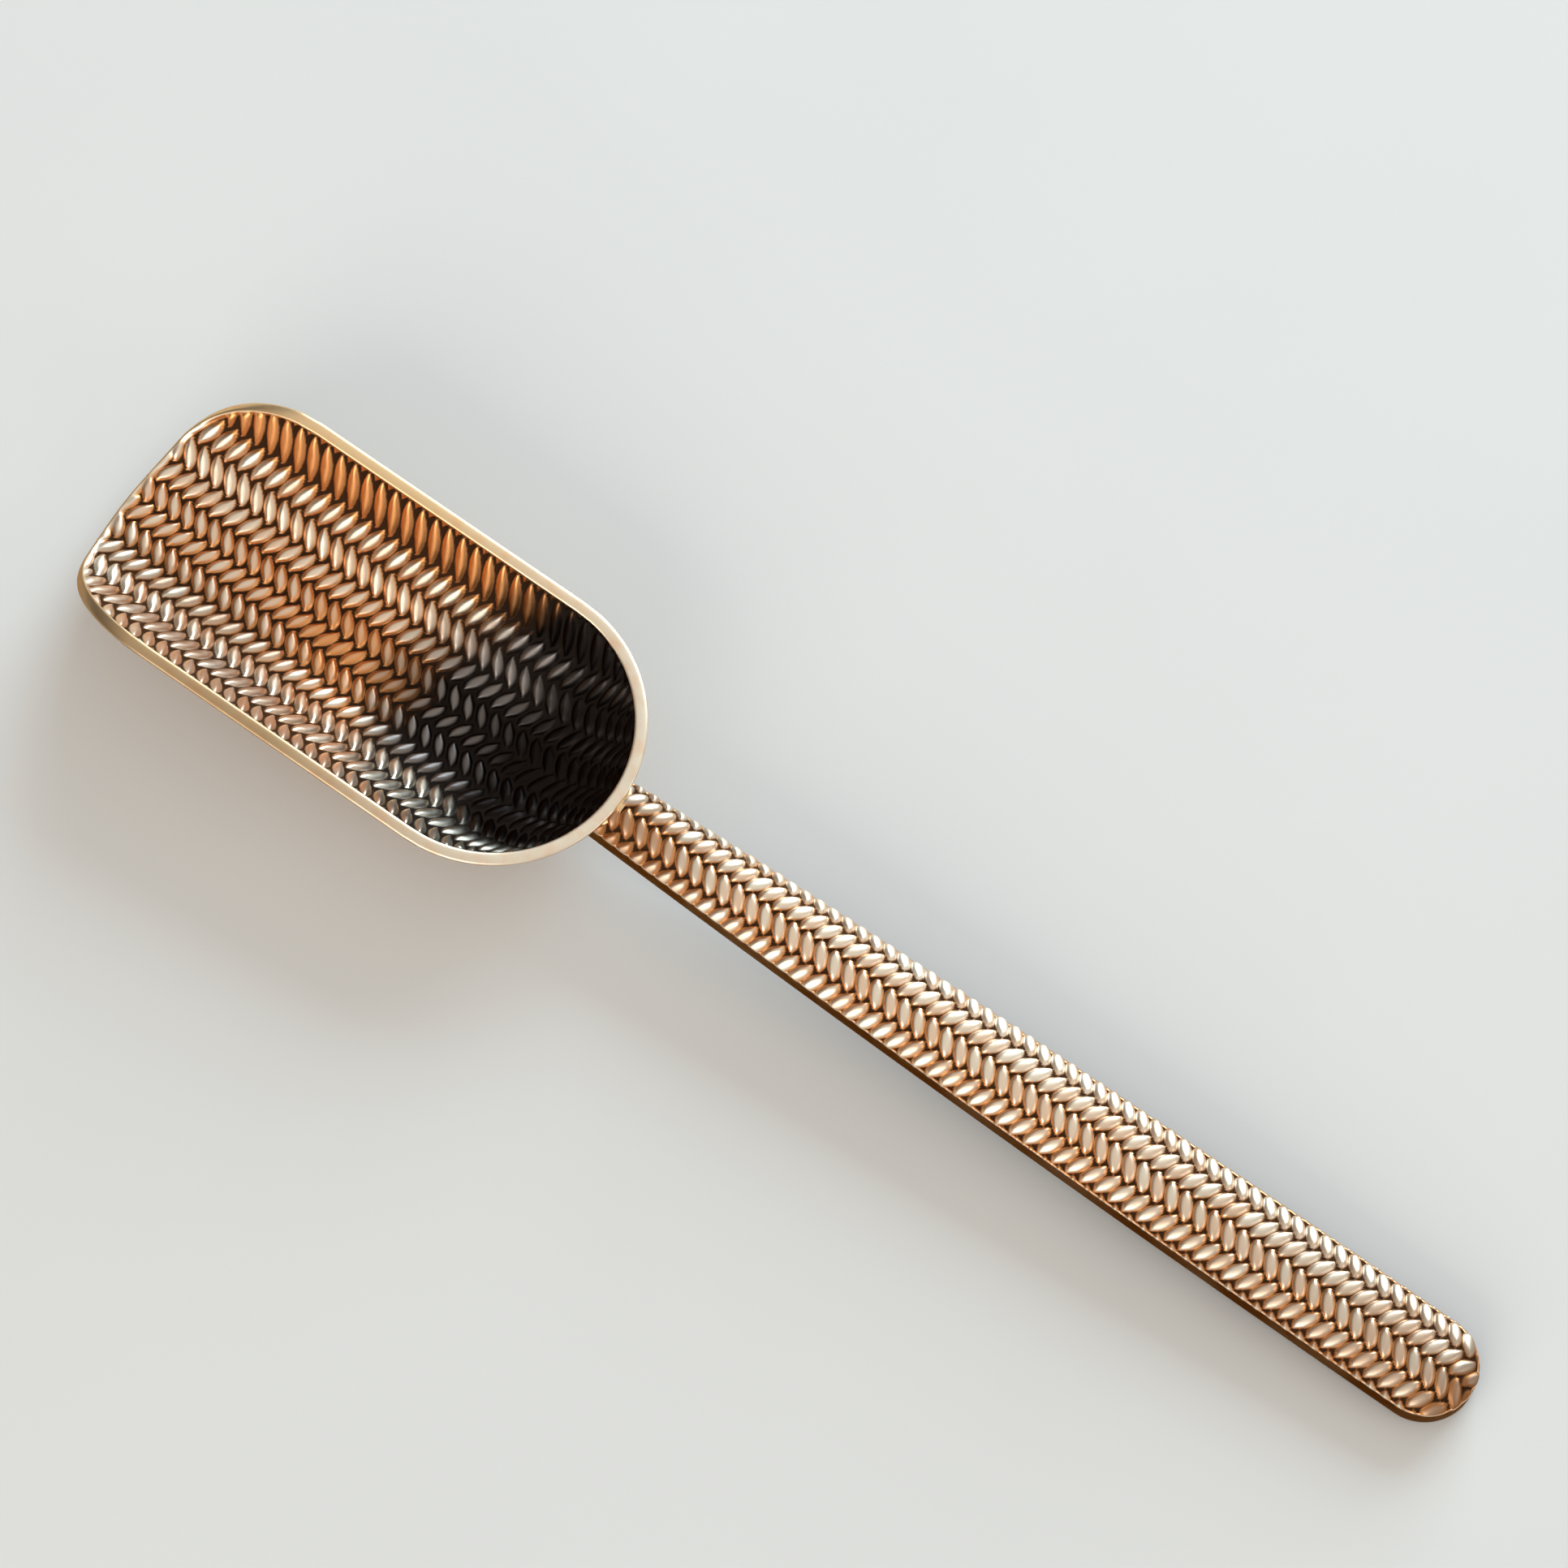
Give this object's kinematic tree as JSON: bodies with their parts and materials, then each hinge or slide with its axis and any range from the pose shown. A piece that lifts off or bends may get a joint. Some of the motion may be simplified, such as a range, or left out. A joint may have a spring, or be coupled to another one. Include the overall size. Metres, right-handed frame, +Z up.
{
  "type": "scoop-shaped teaspoon",
  "caption": "Small metal teaspoon with an open-fronted scoop bowl, a crowned tapered handle and a herringbone relief.",
  "frame": {"origin": "middle of the underside of the box round the spoon as it lies on a table", "axes": "+X along the spoon towards the end of the handle, +Y across it, +Z up; the bowl opens upwards and towards -X"},
  "size_m": [0.1502, 0.0282, 0.0117],
  "materials": {
    "bowl_copper": "copper-coloured metal, pressed herringbone relief with dark patina in its gaps and a polished rim",
    "handle_copper": "copper-coloured metal, herringbone relief on the crown, plain satin sides",
    "braze": "brazing metal, slightly uneven and duller than the copper"
  },
  "bodies": {
    "root": {"scoop_bowl": "bowl_copper", "handle": "handle_copper", "braze_fillet": "braze"}
  },
  "joints": []
}
